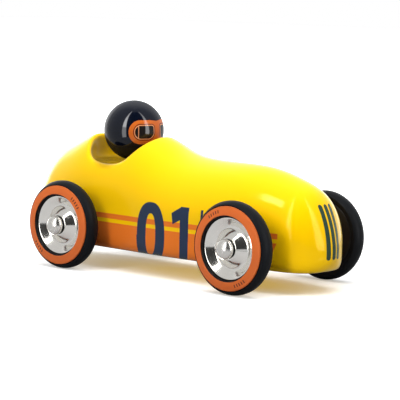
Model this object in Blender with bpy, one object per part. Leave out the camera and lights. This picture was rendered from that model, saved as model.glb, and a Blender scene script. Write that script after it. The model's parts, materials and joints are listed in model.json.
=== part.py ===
"""Pull back car: a lacquered wooden racer with a ball-headed driver, four
wheels on two axles, and a wind-up spring motor on the rear axle.

Sizes are in millimetres and are turned into metres as the meshes are made.
+X points to the nose, +Y to the car's left, +Z up.  The origin is on the
floor, under the middle of the body's length.
"""
import math

import bpy
import bmesh
import numpy as np
from mathutils import Matrix, Vector
from mathutils.geometry import tessellate_polygon

MM = 0.001
GAP = 0.3                # clearance between most fitted parts

# ------------------------------------------------------ wheels and axles ----
# Y levels are for a left wheel; right wheels are the same, turned half round.
TYRE_R = 22.0            # rolling radius
TYRE_INNER, TYRE_OUTER = 31.2, 39.3     # Y of the tyre's two side planes
REAR_AXLE = (-49.9, TYRE_R)             # (x, z)
FRONT_AXLE = (60.7, TYRE_R)
AXLE_R = 1.5
AXLE_HALF = 42.3         # half length
AXLE_CHAMFER = 0.3
BORE_R = AXLE_R + GAP    # bore of everything on an axle

CORE_R = 17.7
CORE_RECESS_R = 15.0     # recess in the outer face, which holds the hub cap
HUB_R = 4.4              # boss out through the hub cap
HUB_END = TYRE_OUTER + 1.2
RING_OUTER_R, RING_INNER_R = 19.65, 15.4
HUBCAP_R = 14.55
HUBCAP_BORE = HUB_R + GAP
AXLE_CAP_R, AXLE_CAP_SKIRT_R = 4.9, 4.6
AXLE_CAP_DOME = 3.6      # height of the dome
AXLE_CAP_RIM = TYRE_OUTER + 1.85        # Y of the dome's rim

# ----------------------------------------------------- bushes and washers ---
BUSH_R, BUSH_FLANGE_R = 3.0, 4.3
BUSH_Y = (12.0, 24.9)
BUSH_FLANGE_Y = 24.0
WASHER_R = 4.6
WASHER_Y = (BUSH_Y[1] + GAP, 25.8)
BOSS_Y = WASHER_Y[1] + GAP              # inner end of the wheel core

# ------------------------------------------------------------------ body ----
BODY_HALF_LENGTH = 92.6
BODY_FLOOR = 10.2        # flat underside
BELLY = 9.8              # the section curve's own lowest level
WAIST = 0.43             # height of the widest level, as a share of the section
UPPER_POWER = 1.94       # superellipse power above the waist
LOWER_POWER = 9.0        # and below it, along the middle of the car
TIP_LOWER_POWER = 2.1    # below it, at the tail and nose
SOFTEN_FROM = 0.55       # share where the lower power starts to fall
END_SHARE = 0.30         # share of each half where the belly sweeps up
SWEEP_POWER = 2.5
# (share from tail -1 to nose 1, top height, half width)
STATIONS = [
    (-1.00, 28.5, 0.0),
    (-0.86, 41.4, 10.7),
    (-0.70, 53.9, 16.8),
    (-0.53, 62.0, 20.4),
    (-0.38, 67.3, 23.0),
    (-0.25, 67.5, 23.7),
    (-0.12, 67.7, 24.4),
    (0.00, 61.1, 25.1),
    (0.12, 58.0, 25.2),
    (0.25, 57.6, 24.4),
    (0.40, 56.6, 22.8),
    (0.55, 52.7, 20.4),
    (0.70, 46.4, 17.5),
    (0.86, 32.4, 8.0),
    (1.00, 20.0, 0.0),
]
TAIL_Z, NOSE_Z = STATIONS[0][1], STATIONS[-1][1]
# shares where the mesh has a ring of vertices
RING_SHARES = [
    -0.985, -0.95, -0.90, -0.84, -0.77, -0.70, -0.62, -0.54, -0.46, -0.39, -0.33,
    -0.27, -0.21, -0.15, -0.09, -0.03, 0.03, 0.10, 0.18, 0.27, 0.36, 0.44,
    0.51, 0.58, 0.65, 0.71, 0.77, 0.82, 0.87, 0.91, 0.95, 0.985,
]
SECTION_STEPS = 14       # steps down each side of a section
UPPER_STEP_SHARE = 0.6   # share of them above the waist
CORNER_PACKING = 1.6     # crowds the rest towards the section's lower end

POCKET_X, POCKET_R, POCKET_FLOOR = -36.5, 20.8, 52.5
SLOT_HALF = 3.0          # half width of the rear axle slot
CROSS_CUT_HALF = 34.0    # half length of the cutters that cross the body

# ---------------------------------------------------------------- driver ----
HEAD_CENTRE = (-35.7, 0.0, 68.6)
HEAD_R = 15.15
HEAD_TURN = math.radians(4.0)
DOWEL_R = 3.0
DOWEL_HOLE_R = DOWEL_R + GAP
DOWEL_Z = (45.4, 60.0)

# ----------------------------------------------------------------- motor ----
PRESSURE_ANGLE = math.radians(25.0)
PINION_MODULE, PINION_TEETH, BIG_TEETH = 0.5, 12, 30    # pinion to idler
SPRING_MODULE, SMALL_TEETH, SPRING_TEETH = 0.6, 10, 36  # idler to spring gear
PINION_Y = (-6.6, -3.0)
BIG_Y = (-6.0, -3.6)
SMALL_Y = (BIG_Y[1], 1.2)
SPRING_GEAR_Y = (-1.4, 1.2)
SPRING_HUB_R, SPRING_HUB_END = 3.4, 7.0

TRAIN_ANGLE = math.radians(30.0)        # idler sits ahead of and above the axle
AXLE_TO_IDLER = PINION_MODULE * (PINION_TEETH + BIG_TEETH) / 2
IDLER_TO_ARBOR = SPRING_MODULE * (SMALL_TEETH + SPRING_TEETH) / 2
IDLER = (REAR_AXLE[0] + AXLE_TO_IDLER * math.cos(TRAIN_ANGLE),
         REAR_AXLE[1] + AXLE_TO_IDLER * math.sin(TRAIN_ANGLE))
ARBOR = (IDLER[0] + IDLER_TO_ARBOR, IDLER[1])
PIN_R, ARBOR_R = 1.0, 1.5

# mainspring ribbon
RIBBON_TURNS, RIBBON_STEPS = 4.5, 20    # steps are per turn
RIBBON_START_R, RIBBON_END_R = 4.0, 10.0
RIBBON_THICK = 0.4
RIBBON_Y = (2.2, 6.4)

PLATE_X = (-61.0, -8.0)
PLATE_Z = (10.4, 12.4)
PLATE_HALF = 11.2
PLATE_CORNER = 2.0
COUNTERBORE = 1.2        # depth of the plate's screw head holes
SCREW_INSET = 2.8
SCREW_X = {"rear": PLATE_X[0] + SCREW_INSET, "front": PLATE_X[1] - SCREW_INSET}
SCREW_HEAD_R, SCREW_R = 2.2, 1.0

CASE_X = (-55.4, -13.7)
CASE_Z = (PLATE_Z[1] + GAP, 41.0)
CASE_HALF = 8.6
CASE_WALL = 1.2
SHAFT_HALF = CASE_HALF - GAP            # half length of idler pin and arbor


# ------------------------------------------------------- scene and objects --
def clear_scene():
    for ob in list(bpy.data.objects):
        bpy.data.objects.remove(ob, do_unlink=True)
    for mesh in list(bpy.data.meshes):
        bpy.data.meshes.remove(mesh)


def make_material(name, color, roughness, metallic=0.0):
    mat = bpy.data.materials.new(name)
    mat.use_nodes = True
    inputs = mat.node_tree.nodes["Principled BSDF"].inputs
    inputs["Base Color"].default_value = (*color, 1.0)
    inputs["Roughness"].default_value = roughness
    inputs["Metallic"].default_value = metallic
    mat.diffuse_color = (*color, 1.0)
    return mat


def place(name, mesh, mat, parent=None, loc=(0, 0, 0), rot=(0, 0, 0)):
    ob = bpy.data.objects.new(name, mesh)
    bpy.context.scene.collection.objects.link(ob)
    if mat is not None and not mesh.materials:
        mesh.materials.append(mat)
    ob.parent = parent
    ob.location = [v * MM for v in loc]
    ob.rotation_euler = rot
    return ob


def add_empty(name, loc):
    ob = bpy.data.objects.new(name, None)
    bpy.context.scene.collection.objects.link(ob)
    ob.location = [v * MM for v in loc]
    ob.empty_display_size = 0.01
    return ob


def mid_plane(point):
    """An (x, z) point as a location in the car's middle plane."""
    return (point[0], 0, point[1])


def cut(target, name, axis, layers, loc=(0, 0, 0)):
    """Subtract a layered solid, kept as a hidden helper, from the target."""
    tool = place(name, layered(name, axis, layers), None, None, loc)
    tool.hide_render = True
    tool.display_type = 'WIRE'
    mod = target.modifiers.new("cut_" + tool.name, 'BOOLEAN')
    mod.operation = 'DIFFERENCE'
    mod.solver = 'EXACT'
    mod.object = tool


# ---------------------------------------------------------- mesh building ---
def finish_mesh(name, verts, faces, smooth=True):
    """Closed mesh from millimetre vertices, faces turned to point out."""
    mesh = bpy.data.meshes.new(name)
    bm = bmesh.new()
    bm_verts = [bm.verts.new((x * MM, y * MM, z * MM)) for x, y, z in verts]
    for face in faces:
        # leave out a face that has collapsed to a line
        if len(set(face)) > 2:
            bm.faces.new([bm_verts[i] for i in face])
    bmesh.ops.remove_doubles(bm, verts=bm.verts, dist=1e-7)
    bmesh.ops.recalc_face_normals(bm, faces=bm.faces)
    if bm.calc_volume(signed=True) < 0:
        bmesh.ops.reverse_faces(bm, faces=bm.faces)
    bm.to_mesh(mesh)
    bm.free()
    if smooth:
        mesh.shade_smooth()
        mesh.set_sharp_from_angle(angle=math.radians(35))
    return mesh


def bridge(ring_a, ring_b, closed=True):
    """Quads between two rings of vertex indices."""
    count = len(ring_a)
    faces = []
    for i in range(count if closed else count - 1):
        j = (i + 1) % count
        faces.append((ring_a[i], ring_a[j], ring_b[j], ring_b[i]))
    return faces


def lathe(name, profile, segments):
    """Turn a (radius, y) profile about the Y axis.

    The profile is a loop clear of the axis, or a line that starts and ends on
    it; points on the axis are merged when the mesh is finished."""
    size = len(profile)
    closed = profile[0][0] > 0
    verts, faces = [], []
    for k in range(segments):
        angle = 2 * math.pi * k / segments
        verts += [(r * math.sin(angle), y, r * math.cos(angle)) for r, y in profile]
        after = (k + 1) % segments
        faces += bridge(range(k * size, (k + 1) * size),
                        range(after * size, (after + 1) * size), closed)
    return finish_mesh(name, verts, faces)


def stand_up(mesh):
    """Turn a lathed mesh so that its +Y end points to +Z."""
    mesh.transform(Matrix.Rotation(math.radians(90.0), 4, 'X'))
    return mesh


def rod(name, radius, half_length, segments):
    return lathe(name, [(0.0, -half_length), (radius, -half_length),
                        (radius, half_length), (0.0, half_length)], segments)


def layered(name, axis, layers, smooth=False):
    """Solid made of stacked flat layers along `axis` ('Y' or 'Z').

    layers is a list of (low, high, outer loop, [hole loops]) of 2-D points.
    Where two layers meet, the difference between their outlines becomes a
    flat step.  A loop shared by two layers must be the same list object."""
    verts, faces, rings = [], [], {}

    def ring(loop, level):
        key = (id(loop), round(level, 6))
        if key not in rings:
            rings[key] = range(len(verts), len(verts) + len(loop))
            for a, b in loop:
                verts.append((a, level, b) if axis == 'Y' else (a, b, level))
        return rings[key]

    def cap(loops, level):
        index = [i for loop in loops for i in ring(loop, level)]
        polys = [[Vector((a, b, 0.0)) for a, b in loop] for loop in loops]
        for triangle in tessellate_polygon(polys):
            faces.append(tuple(index[i] for i in triangle))

    def step(above, below, level):
        # loops that aren't in both layers bound the flat faces between them
        edges = loops_missing(above, below) + loops_missing(below, above)
        edges.sort(key=loop_area, reverse=True)
        while edges:
            big = edges.pop(0)
            cap([big] + [loop for loop in edges if contains(big, loop[0])], level)
            edges = [loop for loop in edges if not contains(big, loop[0])]

    below = []
    for low, high, outer, holes in layers:
        loops = [outer] + holes
        for loop in loops:
            faces += bridge(ring(loop, low), ring(loop, high))
        step(loops, below, low)
        below = loops
    step([], below, layers[-1][1])
    return finish_mesh(name, verts, faces, smooth)


# ---------------------------------------------------------- 2-D outlines ----
def loops_missing(loops, others):
    """The loops that aren't the same objects as any of the others."""
    return [loop for loop in loops if all(loop is not other for other in others)]


def loop_area(loop):
    total = 0.0
    for (x0, y0), (x1, y1) in zip(loop, loop[1:] + loop[:1]):
        total += x0 * y1 - x1 * y0
    return abs(total) / 2


def contains(loop, point):
    x, y = point
    inside = False
    for (x0, y0), (x1, y1) in zip(loop, loop[1:] + loop[:1]):
        if (y0 > y) != (y1 > y) and x < (x1 - x0) * (y - y0) / (y1 - y0) + x0:
            inside = not inside
    return inside


def circle(x, y, radius, count):
    return [(x + radius * math.cos(2 * math.pi * i / count),
             y + radius * math.sin(2 * math.pi * i / count)) for i in range(count)]


def box_loop(x0, x1, y0, y1):
    return [(x0, y0), (x1, y0), (x1, y1), (x0, y1)]


def rounded_rect(x0, x1, y0, y1, radius, steps):
    points = []
    for x, y, start in ((x1 - radius, y1 - radius, 0.0),
                        (x0 + radius, y1 - radius, 90.0),
                        (x0 + radius, y0 + radius, 180.0),
                        (x1 - radius, y0 + radius, 270.0)):
        for i in range(steps + 1):
            angle = math.radians(start + 90.0 * i / steps)
            points.append((x + radius * math.cos(angle), y + radius * math.sin(angle)))
    return points


def gear_loop(teeth, module, toward, tooth_at_line):
    """Outline of a stub-tooth gear about (0, 0), anticlockwise.

    Tooth widths follow an involute; each flank is a straight line.  `toward`
    is the angle of the line to the mating gear; a tooth, or else a gap, is
    centred on that line."""
    backlash = 0.86          # tooth width as a share of half the pitch
    pitch_r = module * teeth / 2.0
    base_r = pitch_r * math.cos(PRESSURE_ANGLE)
    tip_r = pitch_r + 0.8 * module
    root_r = pitch_r - 1.15 * module

    def involute(radius):
        angle = math.acos(base_r / radius)
        return math.tan(angle) - angle

    def half_angle(radius):
        return (math.pi / teeth / 2.0 * backlash
                + involute(pitch_r) - involute(radius))

    # half of a tooth as (angle from its middle, radius), root to tip; below
    # the base circle the flank runs straight in
    foot = half_angle(max(base_r, root_r))
    flank = [(foot, root_r)]
    if base_r > root_r:
        flank.append((foot, base_r))
    flank.append((half_angle(tip_r), tip_r))
    tooth = [(-angle, radius) for angle, radius in flank] + flank[::-1]

    pitch = 2 * math.pi / teeth
    start = toward if tooth_at_line else toward + pitch / 2.0
    points = []
    for k in range(teeth):
        middle = start + k * pitch
        points += [(radius * math.cos(middle + angle), radius * math.sin(middle + angle))
                   for angle, radius in tooth]
    return points


# --------------------------------------------------------------- the body ---
def spline(xs, ys):
    """Cubic spline through the stations, with not-a-knot ends."""
    count = len(xs)
    h = np.diff(xs)
    matrix = np.zeros((count, count))
    rhs = np.zeros(count)
    matrix[0, :3] = -h[1], h[0] + h[1], -h[0]
    matrix[-1, -3:] = -h[-1], h[-2] + h[-1], -h[-2]
    for i in range(1, count - 1):
        matrix[i, i - 1:i + 2] = h[i - 1], 2 * (h[i - 1] + h[i]), h[i]
        rhs[i] = 6 * ((ys[i + 1] - ys[i]) / h[i] - (ys[i] - ys[i - 1]) / h[i - 1])
    bend = np.linalg.solve(matrix, rhs)      # second derivatives

    def value(share):
        i = int(np.searchsorted(xs, share)) - 1
        ahead, behind = xs[i + 1] - share, share - xs[i]
        return ((bend[i] * ahead ** 3 + bend[i + 1] * behind ** 3) / (6 * h[i])
                + (ys[i] / h[i] - bend[i] * h[i] / 6) * ahead
                + (ys[i + 1] / h[i] - bend[i + 1] * h[i] / 6) * behind)
    return value


STATION_SHARES, STATION_TOPS, STATION_HALVES = np.array(STATIONS).T
top_height = spline(STATION_SHARES, STATION_TOPS)
half_width = spline(STATION_SHARES, STATION_HALVES)


def belly(share):
    """Lowest level of the section: flat, sweeping up at the tail and nose."""
    sweep = max((abs(share) - 1 + END_SHARE) / END_SHARE, 0.0)
    tip = NOSE_Z if share > 0 else TAIL_Z
    return BELLY + (tip - BELLY) * sweep ** SWEEP_POWER


def lower_power(share):
    """Squareness of the section's lower part, softening towards the ends."""
    u = min(max((abs(share) - SOFTEN_FROM) / (1 - SOFTEN_FROM), 0.0), 1.0)
    return LOWER_POWER + (TIP_LOWER_POWER - LOWER_POWER) * u * u * (3 - 2 * u)


def half_section(share):
    """Left half of a cross-section, top to bottom, as (y, z) points."""
    top, low = top_height(share), belly(share)
    width = max(half_width(share), 0.0)
    waist = low + WAIST * (top - low)
    power = lower_power(share)
    flat_floor = low < BODY_FLOOR
    end = math.pi
    if flat_floor:
        # the angle where the curve meets the flat underside
        end = math.acos(-((waist - BODY_FLOOR) / (waist - low)) ** (power / 2))
    points = []
    for k in range(SECTION_STEPS + 1):
        part = k / SECTION_STEPS
        if part <= UPPER_STEP_SHARE:
            angle = (math.pi / 2) * (part / UPPER_STEP_SHARE)
        else:
            part = (part - UPPER_STEP_SHARE) / (1 - UPPER_STEP_SHARE)
            packed = 1 - (1 - part) ** CORNER_PACKING
            angle = math.pi / 2 + (end - math.pi / 2) * packed
        c, s = math.cos(angle), math.sin(angle)
        if c >= 0:
            exponent, height = 2 / UPPER_POWER, top - waist
        else:
            exponent, height = 2 / power, waist - low
        points.append((width * abs(s) ** exponent,
                       waist + height * math.copysign(abs(c) ** exponent, c)))
    # put the last point exactly on the underside, or on the middle plane
    points[-1] = (points[-1][0], BODY_FLOOR) if flat_floor else (0.0, low)
    return points


def body_mesh():
    verts, rings = [], []
    for share in RING_SHARES:
        x = BODY_HALF_LENGTH * math.sin(math.pi * share / 2)
        half = half_section(share)
        rings.append(range(len(verts), len(verts) + 2 * len(half)))
        verts += [(x, y, z) for y, z in half]
        verts += [(x, -y, z) for y, z in reversed(half)]
    faces = []
    for ring, ahead in zip(rings, rings[1:]):
        faces += bridge(ring, ahead)
    for ring, x, z in ((rings[0], -BODY_HALF_LENGTH, TAIL_Z),
                       (rings[-1], BODY_HALF_LENGTH, NOSE_Z)):
        tip = len(verts)
        verts.append((x, 0.0, z))
        for i in range(len(ring)):
            faces.append((ring[i], ring[(i + 1) % len(ring)], tip))
    return finish_mesh("body", verts, faces)


def cut_motor_bay(body):
    """A shallow recess for the cover plate, and above it one for the case."""
    side, end, above = 0.4, 0.5, 0.6         # clearances round the case
    plate_bay = rounded_rect(PLATE_X[0] - GAP, PLATE_X[1] + GAP,
                             -PLATE_HALF - GAP, PLATE_HALF + GAP,
                             PLATE_CORNER + GAP, 2)
    case_bay = box_loop(CASE_X[0] - end, CASE_X[1] + end,
                        -CASE_HALF - side, CASE_HALF + side)
    ledge = PLATE_Z[1] + GAP
    cut(body, "motor_bay_cutter", 'Z', [(6.0, ledge, plate_bay, []),
                                        (ledge, CASE_Z[1] + above, case_bay, [])])


def cut_axle_passages(body):
    """A slot open below for the rear axle, and a round bore for the front."""
    x, z = REAR_AXLE
    slot = [(x - SLOT_HALF, 5.0), (x + SLOT_HALF, 5.0)]
    for k in range(7):
        angle = math.pi * k / 6
        slot.append((x + SLOT_HALF * math.cos(angle), z + SLOT_HALF * math.sin(angle)))
    bore = circle(*FRONT_AXLE, BUSH_R + GAP, 16)
    for name, loop in (("rear_slot_cutter", slot), ("front_bore_cutter", bore)):
        cut(body, name, 'Y', [(-CROSS_CUT_HALF, CROSS_CUT_HALF, loop, [])])


def make_body(mats):
    body = place("body", body_mesh(), mats["lacquer"])
    cut(body, "cockpit_cutter", 'Z',
        [(POCKET_FLOOR, 90.0, circle(0, 0, POCKET_R, 56), [])], (POCKET_X, 0, 0))
    cut(body, "neck_hole_cutter", 'Z',
        [(DOWEL_Z[0] - GAP, 56.0, circle(0, 0, DOWEL_HOLE_R, 14), [])],
        (HEAD_CENTRE[0], 0, 0))
    cut_motor_bay(body)
    cut_axle_passages(body)
    for end, x in SCREW_X.items():
        cut(body, "screw_hole_" + end, 'Z',
            [(11.0, 24.4, circle(0, 0, SCREW_R + GAP, 10), [])], (x, 0, 0))


# ------------------------------------------------------------- the driver ---
def make_driver(mats):
    """A ball head with a blind hole below, on a dowel."""
    mount = add_empty("head_mount", HEAD_CENTRE)
    mount.rotation_euler = (0, 0, HEAD_TURN)
    steps = 12
    rim_z = -math.sqrt(HEAD_R ** 2 - DOWEL_HOLE_R ** 2)
    rim_angle = math.acos(rim_z / HEAD_R)
    profile = []
    for i in range(steps + 1):
        angle = rim_angle * i / steps
        profile.append((HEAD_R * math.sin(angle), HEAD_R * math.cos(angle)))
    hole_top = DOWEL_Z[1] + GAP - HEAD_CENTRE[2]
    profile += [(DOWEL_HOLE_R, hole_top), (0.0, hole_top)]
    place("driver_head", stand_up(lathe("driver_head", profile, 24)),
          mats["navy_lacquer"], mount)

    dowel = layered("neck_dowel", 'Z', [(*DOWEL_Z, circle(0, 0, DOWEL_R, 14), [])],
                    smooth=True)
    place("neck_dowel", dowel, mats["maple"], None, (HEAD_CENTRE[0], 0, 0))


# -------------------------------------------------------------- the motor ---
def make_cover_plate(mats):
    outline = rounded_rect(*PLATE_X, -PLATE_HALF, PLATE_HALF, PLATE_CORNER, 3)
    shank_holes = [circle(x, 0, SCREW_R + GAP, 12) for x in SCREW_X.values()]
    head_holes = [circle(x, 0, SCREW_HEAD_R + GAP, 16) for x in SCREW_X.values()]
    ledge = PLATE_Z[0] + COUNTERBORE
    plate = layered("motor_cover_plate", 'Z', [
        (PLATE_Z[0], ledge, outline, head_holes),
        (ledge, PLATE_Z[1], outline, shank_holes)])
    place("motor_cover_plate", plate, mats["black_plastic"])


def make_cover_screws(mats):
    # (radius, height above the plate's underside), head to point
    screw = stand_up(lathe("cover_screw", [
        (0.0, 0.15), (SCREW_HEAD_R, 0.15), (SCREW_HEAD_R, 0.5), (SCREW_R, 0.9),
        (SCREW_R, 12.0), (0.0, 13.6)], 12))
    for end, x in SCREW_X.items():
        place("cover_screw_" + end, screw, mats["steel"], None, (x, 0, PLATE_Z[0]))


def make_motor_case(mats):
    """Two open shells that face each other across the middle plane."""
    outer = rounded_rect(*CASE_X, *CASE_Z, 2.0, 3)
    inner = rounded_rect(CASE_X[0] + CASE_WALL, CASE_X[1] - CASE_WALL,
                         CASE_Z[0] + CASE_WALL, CASE_Z[1] - CASE_WALL, 1.0, 2)
    holes = [circle(*REAR_AXLE, BORE_R, 14),
             circle(*IDLER, PIN_R + GAP, 12),
             circle(*ARBOR, ARBOR_R + GAP, 14)]
    seam, wall = GAP / 2, CASE_HALF - CASE_WALL
    for side, layers in (
            ("left", [(seam, wall, outer, [inner]), (wall, CASE_HALF, outer, holes)]),
            ("right", [(-CASE_HALF, -wall, outer, holes), (-wall, -seam, outer, [inner])])):
        name = "motor_case_" + side
        place(name, layered(name, 'Y', layers), mats["white_plastic"])


def make_motor_shafts(mats):
    for name, radius, segments, centre in (("idler_pin", PIN_R, 12, IDLER),
                                           ("spring_arbor", ARBOR_R, 14, ARBOR)):
        place(name, rod(name, radius, SHAFT_HALF, segments), mats["steel"], None,
              mid_plane(centre))


def make_mainspring(mats):
    """One flat steel ribbon wound in a spiral."""
    count = int(RIBBON_TURNS * RIBBON_STEPS)
    low, high = RIBBON_Y
    verts, faces = [], []
    for i in range(count + 1):
        angle = 2 * math.pi * i / RIBBON_STEPS
        radius = RIBBON_START_R + (RIBBON_END_R - RIBBON_START_R) * i / count
        outside = radius + RIBBON_THICK
        for r, y in ((radius, low), (outside, low), (outside, high), (radius, high)):
            verts.append((r * math.cos(angle), y, r * math.sin(angle)))
    for i in range(count):
        faces += bridge(range(4 * i, 4 * i + 4), range(4 * i + 4, 4 * i + 8))
    faces.append((0, 1, 2, 3))
    faces.append(tuple(range(4 * count, 4 * count + 4)))
    place("mainspring", finish_mesh("mainspring", verts, faces),
          mats["spring_steel"], None, mid_plane(ARBOR))


def make_idler_gear(mats):
    """A two-step gear; its big step looks back to the axle pinion."""
    axis = add_empty("idler_axis", mid_plane(IDLER))
    big = gear_loop(BIG_TEETH, PINION_MODULE, math.pi + TRAIN_ANGLE, False)
    small = gear_loop(SMALL_TEETH, SPRING_MODULE, 0.0, True)
    bore = circle(0, 0, PIN_R + GAP, 12)
    gear = layered("idler_gear", 'Y', [(*BIG_Y, big, [bore]), (*SMALL_Y, small, [bore])])
    place("idler_gear", gear, mats["white_plastic"], axis)


def make_spring_gear(mats):
    """A gear with a round hub on its left, inside the mainspring."""
    axis = add_empty("spring_gear_axis", mid_plane(ARBOR))
    wheel = gear_loop(SPRING_TEETH, SPRING_MODULE, math.pi, False)
    hub = circle(0, 0, SPRING_HUB_R, 20)
    bore = circle(0, 0, ARBOR_R + GAP, 14)
    gear = layered("spring_gear", 'Y', [
        (*SPRING_GEAR_Y, wheel, [bore]),
        (SPRING_GEAR_Y[1], SPRING_HUB_END, hub, [bore])])
    place("spring_gear", gear, mats["white_plastic"], axis)


# --------------------------------------------------------- axles and bushes -
def make_axles(mats):
    """Both axles, each on its own empty; returns the empties by end."""
    lines = {"rear": add_empty("rear_axle_line", mid_plane(REAR_AXLE)),
             "front": add_empty("front_axle_line", mid_plane(FRONT_AXLE))}
    end_r, shoulder = AXLE_R - AXLE_CHAMFER, AXLE_HALF - AXLE_CHAMFER
    axle = lathe("axle", [
        (0.0, -AXLE_HALF), (end_r, -AXLE_HALF), (AXLE_R, -shoulder),
        (AXLE_R, shoulder), (end_r, AXLE_HALF), (0.0, AXLE_HALF)], 14)
    for end, line in lines.items():
        place(end + "_axle", axle, mats["steel"], line)
    return lines


def make_axle_pinion(mats, rear_line):
    teeth = gear_loop(PINION_TEETH, PINION_MODULE, TRAIN_ANGLE, True)
    pinion = layered("axle_pinion", 'Y', [(*PINION_Y, teeth, [circle(0, 0, BORE_R, 14)])])
    place("axle_pinion", pinion, mats["brass"], rear_line)


SIDE_TURNS = {"left": (0, 0, 0), "right": (0, 0, math.pi)}


def make_front_bushes(mats):
    bush = lathe("front_bush", [
        (BORE_R, BUSH_Y[0]), (BUSH_R, BUSH_Y[0]), (BUSH_R, BUSH_FLANGE_Y),
        (BUSH_FLANGE_R, BUSH_FLANGE_Y), (BUSH_FLANGE_R, BUSH_Y[1]),
        (BORE_R, BUSH_Y[1])], 16)
    for side, turn in SIDE_TURNS.items():
        place("front_bush_" + side, bush, mats["white_plastic"], None,
              mid_plane(FRONT_AXLE), turn)


# ------------------------------------------------------------- the wheels ---
# Each profile is a list of (radius, y) points for a left wheel.
def washer_mesh():
    return lathe("axle_washer", [
        (BORE_R, WASHER_Y[0]), (WASHER_R, WASHER_Y[0]),
        (WASHER_R, WASHER_Y[1]), (BORE_R, WASHER_Y[1])], 18)


def core_mesh():
    """A boss towards the body, a web, a rim, and a boss through the hub cap."""
    inner, outer = TYRE_INNER, TYRE_OUTER
    return lathe("wheel_core", [
        (BORE_R, BOSS_Y), (4.2, BOSS_Y), (5.0, inner + 0.9), (16.9, inner + 0.9),
        (CORE_R, inner + 1.6), (CORE_R, outer - 0.3), (CORE_RECESS_R, outer + 0.2),
        (CORE_RECESS_R, outer - 4.3), (HUB_R, outer - 4.3), (HUB_R, HUB_END),
        (BORE_R, HUB_END)], 24)


def tyre_mesh():
    """Round-crowned tyre."""
    inner, outer = TYRE_INNER, TYRE_OUTER
    bore = CORE_R + GAP
    return lathe("tyre", [
        (bore, inner + 0.6), (20.1, inner), (21.25, inner + 0.8), (21.85, inner + 2.2),
        (TYRE_R, (inner + outer) / 2), (21.85, outer - 2.2), (21.25, outer - 0.8),
        (20.1, outer), (20.1, outer - 0.9), (bore, outer - 0.9)], 32)


def trim_ring_mesh():
    """Slightly coned ring, highest at its bore."""
    return lathe("trim_ring", [
        (RING_INNER_R, TYRE_OUTER + 0.5), (RING_OUTER_R, TYRE_OUTER - 0.3),
        (RING_OUTER_R, TYRE_OUTER + 0.35), (RING_INNER_R, TYRE_OUTER + 1.15)], 32)


def hubcap_mesh():
    """Thin dish: it slopes in from the bore to a valley, then out to a lip."""
    outer = TYRE_OUTER
    return lathe("hubcap", [
        (HUBCAP_BORE, outer), (5.3, outer - 0.15), (9.2, outer - 3.2),
        (10.4, outer - 3.3), (14.0, outer - 0.6), (HUBCAP_R, outer - 0.85),
        (HUBCAP_R, outer - 1.15), (13.7, outer - 1.5), (10.5, outer - 3.85),
        (9.2, outer - 3.85), (5.2, outer - 0.85), (HUBCAP_BORE, outer - 0.62)], 26)


def axle_cap_mesh():
    """Domed cap with a blind bore for the axle's end."""
    steps = 5
    profile = []
    for i in range(steps + 1):
        angle = math.pi / 2 * i / steps
        profile.append((AXLE_CAP_R * math.sin(angle),
                        AXLE_CAP_RIM + AXLE_CAP_DOME * math.cos(angle)))
    foot, bore_end = HUB_END + GAP, AXLE_HALF + GAP
    profile += [(AXLE_CAP_SKIRT_R, foot), (BORE_R, foot), (BORE_R, bore_end),
                (0.0, bore_end)]
    return lathe("axle_cap", profile, 18)


def make_wheels(mats, axle_lines):
    parts = [("washer", washer_mesh(), "steel"),
             ("wheel_core", core_mesh(), "black_plastic"),
             ("tyre", tyre_mesh(), "rubber"),
             ("trim_ring", trim_ring_mesh(), "orange_plastic"),
             ("hubcap", hubcap_mesh(), "chrome"),
             ("axle_cap", axle_cap_mesh(), "chrome")]
    for end, line in axle_lines.items():
        for side, turn in SIDE_TURNS.items():
            for part, mesh, mat in parts:
                place(f"{end}_{side}_{part}", mesh, mats[mat], line, rot=turn)


# -------------------------------------------------------------- materials ---
MATERIALS = {
    "lacquer": dict(color=(0.95, 0.72, 0.02), roughness=0.18),
    "navy_lacquer": dict(color=(0.012, 0.018, 0.035), roughness=0.10),
    "rubber": dict(color=(0.018, 0.020, 0.024), roughness=0.55),
    "orange_plastic": dict(color=(0.78, 0.15, 0.02), roughness=0.35),
    "black_plastic": dict(color=(0.02, 0.02, 0.022), roughness=0.4),
    "chrome": dict(color=(0.80, 0.78, 0.75), roughness=0.12, metallic=1.0),
    "steel": dict(color=(0.55, 0.55, 0.56), roughness=0.3, metallic=1.0),
    "white_plastic": dict(color=(0.75, 0.74, 0.70), roughness=0.4),
    "brass": dict(color=(0.72, 0.50, 0.18), roughness=0.3, metallic=1.0),
    "spring_steel": dict(color=(0.30, 0.32, 0.36), roughness=0.3, metallic=1.0),
    "maple": dict(color=(0.62, 0.42, 0.22), roughness=0.5),
}


def build():
    clear_scene()
    mats = {name: make_material(name, **look) for name, look in MATERIALS.items()}
    make_body(mats)
    make_driver(mats)
    make_cover_plate(mats)
    make_cover_screws(mats)
    make_motor_case(mats)
    make_motor_shafts(mats)
    make_mainspring(mats)
    make_idler_gear(mats)
    make_spring_gear(mats)
    axle_lines = make_axles(mats)
    make_axle_pinion(mats, axle_lines["rear"])
    make_front_bushes(mats)
    make_wheels(mats, axle_lines)


build()
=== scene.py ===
"""Pull back car: the finished look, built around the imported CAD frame."""
import json
import math

import bpy
import bmesh
import numpy as np
from mathutils import Matrix, Quaternion, Vector


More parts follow.
